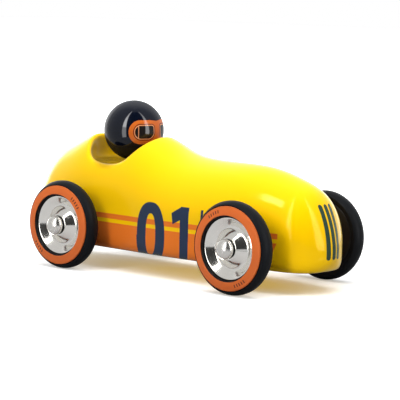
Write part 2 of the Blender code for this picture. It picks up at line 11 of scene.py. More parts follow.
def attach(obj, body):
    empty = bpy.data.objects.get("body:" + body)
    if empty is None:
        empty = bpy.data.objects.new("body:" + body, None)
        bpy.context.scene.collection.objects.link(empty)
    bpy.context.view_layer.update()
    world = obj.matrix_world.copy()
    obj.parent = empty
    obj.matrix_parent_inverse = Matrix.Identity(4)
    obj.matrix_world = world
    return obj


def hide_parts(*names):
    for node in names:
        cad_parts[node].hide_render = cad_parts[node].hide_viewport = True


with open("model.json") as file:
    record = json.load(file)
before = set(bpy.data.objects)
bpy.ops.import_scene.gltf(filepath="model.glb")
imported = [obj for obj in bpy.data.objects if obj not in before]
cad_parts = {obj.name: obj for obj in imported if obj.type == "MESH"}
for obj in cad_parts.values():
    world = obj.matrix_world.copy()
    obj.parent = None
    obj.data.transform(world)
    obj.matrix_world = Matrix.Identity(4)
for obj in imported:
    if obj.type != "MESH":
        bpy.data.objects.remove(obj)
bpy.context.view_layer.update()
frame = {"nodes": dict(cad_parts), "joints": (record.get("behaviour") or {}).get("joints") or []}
MM = 0.001
NODES = frame["nodes"]
JOINT = {j["name"]: j for j in frame["joints"]}
REAR = [v / MM for v in JOINT["rear_axle_spin"]["pos_m"]]
FRONT = [v / MM for v in JOINT["front_axle_spin"]["pos_m"]]


# =====================================================================
#  small node-graph language for the procedural materials
# =====================================================================
class N:
    """A float socket with arithmetic."""

    def __init__(self, tree, sock):
        self.t, self.s = tree, sock

    def _m(self, op, *args, clamp=False):
        node = self.t.nodes.new("ShaderNodeMath")
        node.operation = op
        node.use_clamp = clamp
        for i, a in enumerate(args):
            if isinstance(a, N):
                self.t.links.new(a.s, node.inputs[i])
            else:
                node.inputs[i].default_value = float(a)
        return N(self.t, node.outputs[0])

    def __add__(self, o): return self._m("ADD", self, o)
    __radd__ = __add__
    def __sub__(self, o): return self._m("SUBTRACT", self, o)
    def __rsub__(self, o): return self._m("SUBTRACT", o, self)
    def __mul__(self, o): return self._m("MULTIPLY", self, o)
    __rmul__ = __mul__
    def __truediv__(self, o): return self._m("DIVIDE", self, o)
    def __rtruediv__(self, o): return self._m("DIVIDE", o, self)
    def __neg__(self): return self._m("MULTIPLY", self, -1.0)
    def __pow__(self, o): return self._m("POWER", self, o)
    def abs(self): return self._m("ABSOLUTE", self)
    def clamp_to(self, lo, hi): return self.max(lo).min(hi)
    def sqrt(self): return self._m("SQRT", self)
    def sin(self): return self._m("SINE", self)
    def cos(self): return self._m("COSINE", self)
    def min(self, o): return self._m("MINIMUM", self, o)
    def max(self, o): return self._m("MAXIMUM", self, o)
    def gt(self, o): return self._m("GREATER_THAN", self, o)
    def lt(self, o): return self._m("LESS_THAN", self, o)
    def atan2(self, o): return self._m("ARCTAN2", self, o)
    def mod(self, o): return self._m("FLOORED_MODULO", self, o)
    def clamp(self): return self._m("ADD", self, 0.0, clamp=True)


def inside(dist, soft=0.10):
    """1 where the signed distance is negative, with a soft edge `soft` wide."""
    return (0.5 - dist / soft).clamp()


def length2(a, b):
    return (a * a + b * b).sqrt()


def pick(cond, a, b):
    """a where cond is 1, b where it is 0."""
    return cond * a + (1.0 - cond) * b


class Mat:
    """A Principled material with helpers."""

    def __init__(self, name):
        self.m = bpy.data.materials.new(name)
        self.m.use_nodes = True
        self.t = self.m.node_tree
        self.p = self.t.nodes["Principled BSDF"]
        self._co = None

    def coords(self):
        """Object-space position in millimetres: N x, y, z."""
        if self._co is None:
            tc = self.t.nodes.new("ShaderNodeTexCoord")
            sep = self.t.nodes.new("ShaderNodeSeparateXYZ")
            sc = self.t.nodes.new("ShaderNodeVectorMath")
            sc.operation = "SCALE"
            sc.inputs["Scale"].default_value = 1000.0
            self.t.links.new(tc.outputs["Object"], sc.inputs[0])
            self.t.links.new(sc.outputs[0], sep.inputs[0])
            self.vec = sc.outputs[0]
            self._co = [N(self.t, sep.outputs[i]) for i in range(3)]
        return self._co

    def noise(self, scale, detail=3.0, rough=0.5, stretch=None, distortion=0.0):
        """Noise of the position in millimetres; scale is cycles per mm."""
        self.coords()
        src = self.vec
        if stretch is not None:
            mp = self.t.nodes.new("ShaderNodeMapping")
            mp.inputs["Scale"].default_value = stretch
            self.t.links.new(src, mp.inputs["Vector"])
            src = mp.outputs[0]
        n = self.t.nodes.new("ShaderNodeTexNoise")
        n.inputs["Scale"].default_value = scale
        n.inputs["Detail"].default_value = detail
        n.inputs["Roughness"].default_value = rough
        n.inputs["Distortion"].default_value = distortion
        self.t.links.new(src, n.inputs["Vector"])
        return N(self.t, n.outputs["Fac"])

    def rgb(self, c):
        n = self.t.nodes.new("ShaderNodeRGB")
        n.outputs[0].default_value = (*c, 1.0)
        return n.outputs[0]

    def mix(self, fac, a, b):
        n = self.t.nodes.new("ShaderNodeMix")
        n.data_type = "RGBA"
        n.clamp_factor = True
        if isinstance(fac, N):
            self.t.links.new(fac.s, n.inputs[0])
        else:
            n.inputs[0].default_value = fac
        for i, c in ((6, a), (7, b)):
            if isinstance(c, tuple):
                n.inputs[i].default_value = (*c, 1.0)
            else:
                self.t.links.new(c, n.inputs[i])
        return n.outputs[2]

    def scale_colour(self, col, fac):
        """col times a float N."""
        n = self.t.nodes.new("ShaderNodeVectorMath")
        n.operation = "SCALE"
        self.t.links.new(col, n.inputs[0])
        self.t.links.new(fac.s, n.inputs["Scale"])
        return n.outputs[0]

    def set(self, key, v):
        i = self.p.inputs[key]
        if isinstance(v, N):
            self.t.links.new(v.s, i)
        elif isinstance(v, bpy.types.NodeSocket):
            self.t.links.new(v, i)
        elif isinstance(v, tuple):
            i.default_value = (*v, 1.0) if len(v) == 3 and i.type == "RGBA" else v
        else:
            i.default_value = v
        return self

    def bump(self, height, dist_mm=0.05, strength=1.0, coat=False, prev=None):
        b = self.t.nodes.new("ShaderNodeBump")
        b.inputs["Distance"].default_value = dist_mm * MM
        b.inputs["Strength"].default_value = strength
        self.t.links.new(height.s, b.inputs["Height"])
        if prev is not None:
            self.t.links.new(prev, b.inputs["Normal"])
        self.t.links.new(b.outputs[0], self.p.inputs["Normal"])
        if coat:
            self.t.links.new(b.outputs[0], self.p.inputs["Coat Normal"])
        return b.outputs[0]


# =====================================================================
#  geometry helpers
# =====================================================================
def new_object(name, verts, faces, mat, sharp=40.0, normals=None):
    """A closed mesh piece from millimetre vertices."""
    me = bpy.data.meshes.new(name)
    me.from_pydata([tuple(float(c) * MM for c in v) for v in verts], [], faces)
    bm = bmesh.new()
    bm.from_mesh(me)
    bmesh.ops.remove_doubles(bm, verts=bm.verts, dist=1e-8)
    bmesh.ops.recalc_face_normals(bm, faces=bm.faces)
    if bm.calc_volume(signed=True) < 0:
        bmesh.ops.reverse_faces(bm, faces=bm.faces)
    bm.to_mesh(me)
    bm.free()
    me.shade_smooth()
    if sharp is not None:
        me.set_sharp_from_angle(angle=math.radians(sharp))
    ob = bpy.data.objects.new(name, me)
    bpy.context.scene.collection.objects.link(ob)
    me.materials.append(mat)
    return ob


def rounded(points, steps=6):
    """Closed polygon whose corners (a, b, radius) become arcs."""
    out = []
    n = len(points)
    for i in range(n):
        x, y, r = points[i]
        if r <= 0:
            out.append((x, y))
            continue
        p = np.array([x, y], float)
        a = np.array(points[i - 1][:2], float) - p
        b = np.array(points[(i + 1) % n][:2], float) - p
        la, lb = np.linalg.norm(a), np.linalg.norm(b)
        a, b = a / la, b / lb
        half = math.acos(max(-1.0, min(1.0, float(a @ b)))) / 2
        cut = min(r / math.tan(half), la * 0.499, lb * 0.499)
        rr = cut * math.tan(half)
        bis = a + b
        if np.linalg.norm(bis) < 1e-9:
            out.append((x, y))
            continue
        c = p + bis / np.linalg.norm(bis) * (rr / math.sin(half))
        s, e = p + a * cut, p + b * cut
        a0 = math.atan2(s[1] - c[1], s[0] - c[0])
        a1 = math.atan2(e[1] - c[1], e[0] - c[0])
        d = (a1 - a0 + math.pi) % (2 * math.pi) - math.pi
        for k in range(steps + 1):
            t = a0 + d * k / steps
            out.append((c[0] + rr * math.cos(t), c[1] + rr * math.sin(t)))
    return out


def lathe(name, profile, mat, segs=128, closed=True, axis="Y", side=1.0,
          at=(0.0, 0.0, 0.0), sharp=40.0):
    """Turn (radius, along) about an axis through `at`.  side -1 mirrors along it."""
    prof = list(profile)
    n = len(prof)
    verts, faces = [], []
    for k in range(segs):
        a = 2 * math.pi * k / segs
        ca, sa = math.cos(a), math.sin(a)
        for r, y in prof:
            if axis == "Y":
                verts.append((at[0] + r * ca, at[1] + side * y, at[2] + r * sa))
            else:
                verts.append((at[0] + r * ca, at[1] + r * sa, at[2] + y))
    for k in range(segs):
        k2 = (k + 1) % segs
        for i in range(n if closed else n - 1):
            j = (i + 1) % n
            faces.append([k * n + i, k * n + j, k2 * n + j, k2 * n + i])
    if not closed:
        fixed = []
        for f in faces:
            g = []
            for v in f:
                if v % n == 0:
                    v = 0
                elif v % n == n - 1:
                    v = n - 1
                if v not in g:
                    g.append(v)
            fixed.append(g)
        used = sorted({v for f in fixed for v in f})
        remap = {v: i for i, v in enumerate(used)}
        verts = [verts[v] for v in used]
        faces = [[remap[v] for v in f] for f in fixed]
    return new_object(name, verts, faces, mat, sharp)


# =====================================================================
#  the body's surface, as a rule
# =====================================================================
L_HALF = 92.6
BODY_FLOOR, BELLY = 10.2, 9.8
SECTION_UP, SECTION_LOW, WAIST = 1.94, 9.0, 0.43
END_SHARE = 0.30
STATIONS = [
    (-1.00, 28.5, 0.0), (-0.86, 41.4, 10.7), (-0.70, 53.9, 16.8),
    (-0.53, 62.0, 20.4), (-0.38, 67.3, 23.0), (-0.25, 67.5, 23.7),
    (-0.12, 67.7, 24.4), (0.00, 61.1, 25.1), (0.12, 58.0, 25.2),
    (0.25, 57.6, 24.4), (0.40, 56.6, 22.8), (0.55, 52.7, 20.4),
    (0.70, 46.4, 17.5), (0.86, 32.4, 8.0), (1.00, 20.0, 0.0),
]
POCKET_X, POCKET_R, POCKET_FLOOR = -36.5, 20.8, 52.5
HEAD_C, HEAD_R = (-35.7, 0.0, 68.6), 15.15


def spline(col):
    x = np.array([s[0] for s in STATIONS], float)
    y = np.array([s[col] for s in STATIONS], float)
    n = len(x)
    h = np.diff(x)
    a = np.zeros((n, n))
    b = np.zeros(n)
    a[0, 0], a[0, 1], a[0, 2] = -h[1], h[0] + h[1], -h[0]
    a[-1, -3], a[-1, -2], a[-1, -1] = -h[-1], h[-2] + h[-1], -h[-2]
    for i in range(1, n - 1):
        a[i, i - 1], a[i, i], a[i, i + 1] = h[i - 1], 2 * (h[i - 1] + h[i]), h[i]
        b[i] = 6 * ((y[i + 1] - y[i]) / h[i] - (y[i] - y[i - 1]) / h[i - 1])
    m = np.linalg.solve(a, b)

    def f(t):
        i = np.clip(np.searchsorted(x, t) - 1, 0, n - 2)
        u, v = x[i + 1] - t, t - x[i]
        return (m[i] * u ** 3 + m[i + 1] * v ** 3) / (6 * h[i]) \
            + (y[i] / h[i] - m[i] * h[i] / 6) * u \
            + (y[i + 1] / h[i] - m[i + 1] * h[i] / 6) * v
    return f


TOP, HALF = spline(1), spline(2)


def shell_raw(p):
    """Negative inside the loft; smooth, but not a distance."""
    x, y, z = p[:, 0], p[:, 1], p[:, 2]
    q = np.clip(np.abs(x) / L_HALF, 0, 1)
    t = np.sign(x) * np.minimum(2 / np.pi * np.arcsin(q), 0.995)
    s = 1 - np.abs(t)
    over = np.abs(x) / L_HALF
    # (1 - |t|)^2, carried on smoothly past the ends
    s2 = np.where(np.abs(t) < 0.995, s ** 2,
                  (8 / np.pi ** 2) * (1 - over) + (0.005 ** 2 - (8 / np.pi ** 2)
                  * (1 - math.sin(0.995 * math.pi / 2))))
    top = TOP(t)
    u = np.clip((np.abs(t) - 1 + END_SHARE) / END_SHARE, 0, 1)
    tip = np.where(t > 0, STATIONS[-1][1], STATIONS[0][1])
    low = BELLY + (tip - BELLY) * u ** 2.5
    w = HALF(t)
    zm = low + WAIST * (top - low)
    v = np.clip((np.abs(t) - 0.55) / 0.45, 0, 1)
    p_low = SECTION_LOW + (2.1 - SECTION_LOW) * v * v * (3 - 2 * v)
    dz = z - zm
    h = np.where(dz >= 0, top - zm, zm - low)
    e = np.where(dz >= 0, SECTION_UP, p_low)
    a = np.abs(y) / (w / s)
    b = np.abs(dz) / (h / s)
    m = np.maximum(np.maximum(a, b), 1e-9)
    rho = m * ((a / m) ** e + (b / m) ** e) ** (1 / e)
    return rho ** 2 - s2


def grad(f, p, h=0.02):
    g = np.zeros_like(p)
    for i in range(3):
        d = np.zeros(3)
        d[i] = h
        g[:, i] = (f(p + d) - f(p - d)) / (2 * h)
    return g


def smax(a, b, k):
    h = np.maximum(k - np.abs(a - b), 0) / k
    return np.maximum(a, b) + h * h * k / 4


def box_sd(p, lo, hi):
    c = (np.array(lo) + np.array(hi)) / 2
    e = (np.array(hi) - np.array(lo)) / 2
    q = np.abs(p - c) - e
    return np.linalg.norm(np.maximum(q, 0), axis=1) + np.minimum(q.max(1), 0)


def body_fn(norm):
    """Signed distance-like rule for the finished body; norm is |grad| of the
    raw loft rule at each point."""
    def f(p):
        x, y, z = p[:, 0], p[:, 1], p[:, 2]
        d = shell_raw(p) / norm
        d = smax(d, BODY_FLOOR - z, 0.9)
        r = np.hypot(x - POCKET_X, y)
        pocket = smax(r - POCKET_R, POCKET_FLOOR - z, 5.5)
        d = smax(d, -pocket, 3.0)
        neck = np.maximum(np.hypot(x - HEAD_C[0], y) - 3.3, 45.1 - z)
        d = smax(d, -neck, 0.5)
        d = smax(d, -box_sd(p, (-61.3, -11.5, 0.0), (-7.7, 11.5, 12.7)), 0.5)
        d = smax(d, -box_sd(p, (-55.9, -9.0, 0.0), (-13.2, 9.0, 41.6)), 0.5)
        slot = np.hypot(x - REAR[0], np.maximum(z - REAR[2], 0)) - 3.0
        d = smax(d, -slot, 0.6)
        bore = np.hypot(x - FRONT[0], z - FRONT[2]) - 3.3
        d = smax(d, -bore, 0.6)
        return d
    return f


def make_body(mat):
    src = NODES["body"].data.copy()
    bm = bmesh.new()
    bm.from_mesh(src)
    bmesh.ops.remove_doubles(bm, verts=bm.verts, dist=1e-6)
    bmesh.ops.recalc_face_normals(bm, faces=bm.faces)
    bm.to_mesh(src)
    bm.free()
    ob = bpy.data.objects.new("painted_body", src)
    bpy.context.scene.collection.objects.link(ob)
    rm = ob.modifiers.new("r", "REMESH")
    rm.mode = "VOXEL"
    rm.voxel_size = 0.75 * MM
    rm.adaptivity = 0.0
    dg = bpy.context.evaluated_depsgraph_get()
    me = bpy.data.meshes.new_from_object(ob.evaluated_get(dg))
    ob.modifiers.clear()
    ob.data = me
    n = len(me.vertices)
    co = np.zeros(n * 3, np.float64)
    me.vertices.foreach_get("co", co)
    p = co.reshape(-1, 3) / MM
    for it in range(7):
        norm = np.maximum(np.linalg.norm(grad(shell_raw, p), axis=1), 1e-5)
        f = body_fn(norm)
        v = f(p)
        g = grad(f, p)
        gg = np.maximum((g * g).sum(1), 0.05)
        step = -(v / gg)[:, None] * g
        ln = np.linalg.norm(step, axis=1)
        step *= np.minimum(1.0, 0.6 / np.maximum(ln, 1e-9))[:, None]
        p = p + step * (0.7 if it < 3 else 1.0)
    me.vertices.foreach_set("co", (p * MM).astype(np.float32).ravel())
    me.update()
    me.shade_smooth()
    norm = np.maximum(np.linalg.norm(grad(shell_raw, p), axis=1), 1e-5)
    g = grad(body_fn(norm), p, 0.05)
    g /= np.maximum(np.linalg.norm(g, axis=1), 1e-9)[:, None]
    me.normals_split_custom_set_from_vertices(g.astype(np.float32))
    me.materials.clear()
    me.materials.append(mat)
    return ob


# =====================================================================
#  materials
# =====================================================================
YELLOW = (0.94, 0.556, 0.001)
ORANGE = (0.78, 0.172, 0.018)
NAVY = (0.016, 0.027, 0.062)
TEAL = (0.017, 0.047, 0.036)


def lacquer_finish(m, base_rough=0.40, peel=0.9, coat_rough=0.012, weight=0.62, ior=1.5):
    """Thick clear gloss over paint, with a faint orange peel."""
    a = m.noise(0.22, 2.0, 0.5)
    b = m.noise(1.4, 2.0, 0.5)
    m.set("Roughness", a * 0.10 + (base_rough - 0.05))
    m.set("Specular IOR Level", 0.02)
    m.set("Coat Weight", weight)
    m.set("Coat Roughness", b * 0.02 + coat_rough)
    m.set("Coat IOR", ior)
    m.bump(a * 0.7 + b * 0.12, 0.05 * peel, 0.5, coat=True)


def body_material():
    m = Mat("yellow_lacquer")
    x, y, z = m.coords()
    side = y.abs()
    soft = 0.14
    tone = m.noise(0.035, 2.0, 0.5)
    grain = m.noise(0.5, 4.0, 0.6, stretch=(0.06, 1.0, 1.0))
    base = m.scale_colour(m.rgb(YELLOW), tone * 0.05 + grain * 0.03 + 0.96)

    # --- printed orange stripes along each side ---
    on_side = (side - 8.0).gt(0.0)
    front_thin, rear_thin = 74.4, -76.0
    band_x = ((x - front_thin).max(rear_thin - x))
    thin = inside(((z - 27.3).abs() - 1.3).max(band_x), soft)
    # the wide band's ends lean back towards the floor
    lean = 0.42
    wide_front = x - (front_thin - 0.4) + (24.1 - z) * lean + ((17.6 - z).max(0.0)) * 0.30
    wide_rear = (rear_thin + 0.4) - x + (24.1 - z) * lean
    wide = inside((z - 24.1).max(wide_front).max(wide_rear), soft)
    stripes = (thin + wide).clamp() * on_side

    # --- racing number: a nought and a one, cut off by the bottom edge ---
    # mirrored on the far side so that it reads from left to right
    s = pick(y.gt(0.0), -1.0, 1.0)
    cx = 5.75
    # the print runs on straight where the side rolls under at the bottom edge
    roll = (25.1 - side).clamp_to(0.0, 3.0) * z.lt(20.0) * 0.86
    u = (x + roll - cx) * s
    ou = (u + 6.02).abs() / 9.3
    oz = (z - 21.0).abs() / 15.9
    iu = (u + 5.98).abs() / 3.25
    iz = (z - 21.0).abs() / 10.4
    pw = 2.35
    o_out = ((ou ** pw + oz ** pw) ** (1 / pw) - 1.0) * 9.5
    o_in = ((iu ** pw + iz ** pw) ** (1 / pw) - 1.0) * 3.6
    nought = inside(o_out.max(-o_in), soft)
    u1 = u - 13.0            # left edge of the stem at 0
    stem = (u1 - 2.65 - 0.0).abs() - 2.65
    stem = stem.max(z - 36.4)
    # the flag, between two slanting lines and a steep left edge
    f_top = (z - 36.6) - (u1 - 0.9) * 0.58
    f_low = (29.9 - z) + (u1) * 0.52
    f_left = -(u1 + 5.4) + (33.2 - z) * 0.13
    flag = (f_top * 0.86).max(f_low * 0.88).max(f_left).max(u1 - 2.0).max(z - 36.4)
    one = inside(stem.min(flag), soft)
    digits = (nought + one).clamp() * on_side

    # --- fine louvre lines ahead of the number ---
    ahead = x + roll - cx
    lx = ((ahead - 26.2 + 1.75).mod(3.5) - 1.75).abs() - 0.72
    louvre = lx.max((ahead - 31.5).abs() - 7.2).max((z - 31.4).abs() - 4.5)
    lines = inside(louvre, soft) * on_side

    # --- three grille bars on the nose ---
    gy = y.abs()
    bar = ((gy - 3.5).abs() - 0.0).min(gy)
    zz = (z - 29.3).abs() - 11.5
    bar_d = length2(bar, zz.max(0.0)) - 1.26
    grille = inside(bar_d, soft) * x.gt(60.0)

    # painted shade: the yellow paint is darkened down inside the cockpit pocket, where the recess
    # falls into shadow
    rr = length2(x - POCKET_X, y)
    painted_cockpit_shade = ((POCKET_R + 0.5 - rr) / 3.0).clamp() * ((z - 50.0).gt(0.0))
    base = m.scale_colour(base, 1.0 - painted_cockpit_shade * 0.76)
    col = m.mix(stripes, base, m.scale_colour(m.rgb(ORANGE), tone * 0.06 + 0.97))
    ink = (digits + lines).clamp()
    col = m.mix(ink, col, NAVY)
    col = m.mix(grille, col, TEAL)
    m.set("Base Color", col)
    # one warm clear gloss: tinted head on, white at grazing angles
    peel_a = m.noise(0.22, 2.0, 0.5)
    peel_b = m.noise(1.4, 2.0, 0.5)
    m.set("Roughness", peel_b * 0.02 + 0.09)
    m.set("Specular IOR Level", 0.30)
    m.set("Specular Tint", m.mix(ink, (1.0, 0.86, 0.26), (0.55, 0.75, 1.0)))
    m.bump(peel_a * 0.7 + peel_b * 0.12, 0.045, 0.5)
    # faint pale bloom of the clear coat at grazing angles, taken away inside the cockpit's painted
    # shade
    m.set("Sheen Weight", 0.32 - painted_cockpit_shade * 0.32)
    m.set("Sheen Roughness", 0.35)
    m.set("Sheen Tint", m.rgb((1.0, 1.0, 0.55)))
    return m.m


def head_material():
    """Near-black navy gloss ball with printed racing goggles."""
    m = Mat("navy_gloss")
    x0, y0, z0 = m.coords()
    cx, cy, cz = HEAD_C
    turn = math.radians(4.0)
    X = (x0 - cx) * math.cos(turn) + (y0 - cy) * math.sin(turn)
    Y = (y0 - cy) * math.cos(turn) - (x0 - cx) * math.sin(turn)
    Z = z0 - cz
    az = Y.atan2(X)
    u = az.abs() * HEAD_R          # arc length from the bridge, mm
    soft = 0.12

    # strap-less goggle frame: wide rounded band, dipping a little at the bridge
    dip = (1.0 - (u / 4.5).min(1.0))
    zc = 0.0 - dip * 0.15
    bw, bh, br = 16.2, 6.0, 5.8
    qx = u - (bw - br)
    qz = (Z - zc).abs() + dip * 0.35 - (bh - br)
    band_d = length2(qx.max(0.0), qz.max(0.0)) - br + (qx.max(qz)).min(0.0)
    band = inside(band_d, soft)

    # lenses: rounded boxes with a fuller lower inner corner
    lx = u - 7.85
    lz = Z - 0.05
    hx, hz = 5.55, 3.65
    inner = lx.lt(-0.0)
    lower = lz.lt(0.0)
    rad = pick(inner, pick(lower, 3.6, 1.5), pick(lower, 3.6, 3.4))
    lz = lz + lower * inner * 0.0
    qx = lx.abs() - hx + rad
    qz = lz.abs() - hz + rad
    lens_d = length2(qx.max(0.0), qz.max(0.0)) + (qx.max(qz)).min(0.0) - rad
    dark_line = inside(lens_d - 0.55, soft)
    pale_line = inside(lens_d, soft)
    glass = inside(lens_d + 0.42, soft)
    pane = inside((u - 11.15).abs() - 0.2, soft) * glass

    orange = (0.56, 0.125, 0.018)
    base = m.rgb((0.0012, 0.0026, 0.0080))
    col = m.mix(band, base, orange)
    col = m.mix(dark_line, col, (0.16, 0.022, 0.006))
    col = m.mix(pale_line, col, (0.72, 0.30, 0.13))
    col = m.mix(glass, col, (0.010, 0.008, 0.008))
    col = m.mix(pane, col, (0.72, 0.30, 0.13))
    m.set("Base Color", col)
    lacquer_finish(m, 0.35, 0.5)
    # the gloss is held back towards the ball's outline
    lw = m.t.nodes.new("ShaderNodeLayerWeight")
    lw.inputs["Blend"].default_value = 0.5
    edge_on = N(m.t, lw.outputs["Facing"])
    m.set("Coat Weight", (1.0 - ((edge_on - 0.46) / 0.34).clamp()) * 0.70)
    return m.m


def rubber_material():
    m = Mat("tyre_rubber")
    n = m.noise(3.0, 4.0, 0.6)
    d = m.noise(0.12, 3.0, 0.6)
    m.set("Base Color", m.scale_colour(m.rgb((0.0055, 0.0062, 0.0078)), d * 0.5 + 0.75))
    m.set("Roughness", n * 0.14 + 0.40)
    m.set("Specular IOR Level", 0.10)
    m.bump(n, 0.02, 0.5)
    return m.m


def ring_material(name, centre, marks_deg, side):
    """Semi-gloss orange ring with two groups of plain dark dashes."""
    m = Mat(name)
    x, y, z = m.coords()
    u = (x - centre[0]) * (1.0 if side < 0 else -1.0)
    w = z - centre[2]
    r = length2(u, w)
    ang = w.atan2(u)
    n = m.noise(2.5, 3.0, 0.6)
    d = m.noise(0.15, 2.0, 0.5)
    col = m.scale_colour(m.rgb((0.67, 0.140, 0.026)), d * 0.10 + 0.95)
    total = None
    for deg in marks_deg:
        a0 = math.radians(deg)
        # angle from the group's middle, wrapped
        da = ((ang - a0 + math.pi).mod(2 * math.pi)) - math.pi
        t = da * 17.45                       # mm along the ring
        dash = ((t + 0.75).mod(1.5) - 0.75).abs() - 0.27
        k = dash.max(t.abs() - 3.35).max((r - 17.5).abs() - 0.72)
        mk = inside(k, 0.1)
        total = mk if total is None else (total + mk).clamp()
    col = m.mix(total, col, (0.030, 0.016, 0.012))
    # darker edge lines where the print stops
    edge = inside((r - 19.45).abs() - 0.10, 0.12)
    col = m.mix(edge * 0.35, col, (0.20, 0.035, 0.008))
    bore = inside(r - 15.46, 0.08)
    col = m.mix(bore, col, (0.030, 0.006, 0.003))
    m.set("Base Color", col)
    m.set("Roughness", n * 0.10 + 0.30)
    m.set("Specular IOR Level", 0.25)
    m.bump(n, 0.01, 0.4)
    return m.m


def chrome_material(name, centre, tint=(0.93, 0.905, 0.85), rough=0.10):
    """Polished plating with faint turning marks and smudges."""
    m = Mat(name)
    x, y, z = m.coords()
    r = length2(x - centre[0], z - centre[2])
    smudge = m.noise(0.35, 3.0, 0.6)
    turn_marks = (r * 4.0).sin()
    m.set("Base Color", m.scale_colour(m.rgb(tint), smudge * 0.06 + turn_marks * 0.006 + 0.97))
    m.set("Metallic", 1.0)
    m.set("Roughness", smudge * 0.05 + turn_marks * 0.008 + rough)
    m.bump(smudge, 0.0015, 0.2)
    return m.m


def plastic_material(name, col, rough=0.42, grain=4.0, spec=0.5):
    m = Mat(name)
    n = m.noise(grain, 3.0, 0.6)
    d = m.noise(0.2, 2.0, 0.5)
    m.set("Base Color", m.scale_colour(m.rgb(col), d * 0.12 + 0.94))
    m.set("Roughness", n * 0.12 + rough - 0.06)
    m.set("Specular IOR Level", spec)
    m.bump(n, 0.012, 0.5)
    return m.m


def steel_material(name, col, rough=0.26, along="Y"):
    """Ground or turned metal: fine lines round the part."""
    m = Mat(name)
    st = {"Y": (0.15, 3.0, 0.15), "Z": (0.2, 0.2, 3.0), "0": (1.0, 1.0, 1.0)}[along]
    lines = m.noise(3.0, 3.0, 0.6, stretch=st)
    d = m.noise(0.25, 2.0, 0.5)
    m.set("Base Color", m.scale_colour(m.rgb(col), d * 0.14 + 0.93))
    m.set("Metallic", 1.0)
    m.set("Roughness", lines * 0.16 + rough - 0.08)
    m.bump(lines, 0.004, 0.5)
    return m.m


def wood_material():
    m = Mat("raw_wood")
    g = m.noise(1.1, 5.0, 0.6, stretch=(1.0, 1.0, 0.08), distortion=0.3)
    col = m.mix(g, (0.66, 0.45, 0.24), (0.42, 0.25, 0.11))
    m.set("Base Color", col)
    m.set("Roughness", g * 0.2 + 0.45)
    m.bump(g, 0.03, 0.5)
    return m.m


# =====================================================================
#  build the pieces
# =====================================================================
BODY_MAT = body_material()
HEAD_MAT = head_material()
RUBBER = rubber_material()
BLACK = plastic_material("black_plastic", (0.008, 0.008, 0.009), 0.45, spec=0.25)
WHITE = plastic_material("white_plastic", (0.74, 0.73, 0.69), 0.42)
GEAR = plastic_material("gear_plastic", (0.78, 0.76, 0.66), 0.36)
STEEL = steel_material("axle_steel", (0.56, 0.55, 0.54), 0.24, "Y")
ZINC = steel_material("screw_steel", (0.62, 0.61, 0.60), 0.32, "0")
BLUED = steel_material("spring_steel", (0.28, 0.30, 0.36), 0.28, "Z")
BRASS = steel_material("pinion_brass", (0.72, 0.50, 0.19), 0.26, "Y")
WOOD = wood_material()

body = make_body(BODY_MAT)
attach(body, "chassis")
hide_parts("body")

# ---- driver's ball head, with its blind hole for the dowel ----
zlow = -math.sqrt(HEAD_R ** 2 - 3.3 ** 2)
a_end = math.acos(zlow / HEAD_R)
prof = [(0.0, HEAD_R)] + [
    (HEAD_R * math.sin(a_end * i / 72), HEAD_R * math.cos(a_end * i / 72))
    for i in range(1, 73)] + [(3.3, -8.0), (0.0, -8.0)]
head = lathe("ball_head", prof, HEAD_MAT, 128, closed=False, axis="Z", at=HEAD_C)
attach(head, "chassis")
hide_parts("driver_head")

# ---- wheels ----
YO, YI = 39.3, 31.2


def tyre_profile():
    """Round-crowned tyre over a rubber bead that seats on the wheel."""
    out = [(18.0, YI + 0.5), (19.2, YI + 0.12)]
    mid, half = (YO + YI) / 2, (YO - YI) / 2
    n = 28
    for i in range(n + 1):
        u = -math.cos(math.pi * i / n)
        out.append((20.1 + 1.9 * (1 - abs(u) ** 2.3) ** 0.92, mid + half * u))
    return out + [(20.1, YO - 0.9), (18.0, YO - 0.9)]


TYRE_P = tyre_profile()
CORE_P = rounded([
    (1.8, 26.1, 0.0), (4.2, 26.1, 0.3), (5.0, YI + 0.9, 0.8), (16.9, YI + 0.9, 0.3),
    (17.7, YI + 1.6, 0.2), (17.7, YO - 0.3, 0.0), (15.0, YO + 0.2, 0.12),
    (15.0, YO - 4.3, 0.3), (4.4, YO - 4.3, 0.2), (4.4, YO + 1.2, 0.1),
    (1.8, YO + 1.2, 0.0)], 4)
RING_P = rounded([
    (15.4, YO + 0.5, 0.05), (19.65, YO - 0.3, 0.05), (19.65, YO + 0.35, 0.2),
    (15.4, YO + 1.15, 0.3)], 5)


def smooth_curve(pts, n):
    """Catmull-Rom through the points, n steps per span."""
    p = [np.array(q, float) for q in pts]
    p = [2 * p[0] - p[1]] + p + [2 * p[-1] - p[-2]]
    out = []
    for i in range(1, len(p) - 2):
        for k in range(n):
            t = k / n
            a, b, c, d = p[i - 1], p[i], p[i + 1], p[i + 2]
            out.append(tuple(0.5 * ((2 * b) + (c - a) * t + (2 * a - 5 * b + 4 * c - d) * t ** 2
                                    + (3 * b - a - 3 * c + d) * t ** 3)))
    out.append(tuple(p[-2]))
    return out


def cap_profile():
    """Pressed hubcap: a low centre boss, a round valley, a cone up to a rolled lip."""
    front = [(4.7, 0.02), (5.0, -0.02), (5.4, -0.26), (6.2, -0.94), (7.2, -1.79),
             (8.2, -2.64), (8.8, -3.13), (9.3, -3.42), (9.85, -3.56), (10.4, -3.40),
             (11.0, -2.98), (12.0, -2.20), (13.0, -1.42), (13.7, -0.88), (14.1, -0.64),
             (14.38, -0.64), (14.55, -0.86)]
    back = [(14.55, -1.15), (14.2, -1.22), (13.7, -1.5), (12.6, -2.35), (11.4, -3.32),
            (10.5, -3.92), (9.9, -4.05), (9.2, -3.97), (8.2, -3.25), (7.0, -2.28),
            (6.0, -1.45), (5.2, -0.87), (4.7, -0.62)]
    return [(r, YO + y) for r, y in smooth_curve(front, 3) + smooth_curve(back, 1)]


CAP_P = cap_profile()


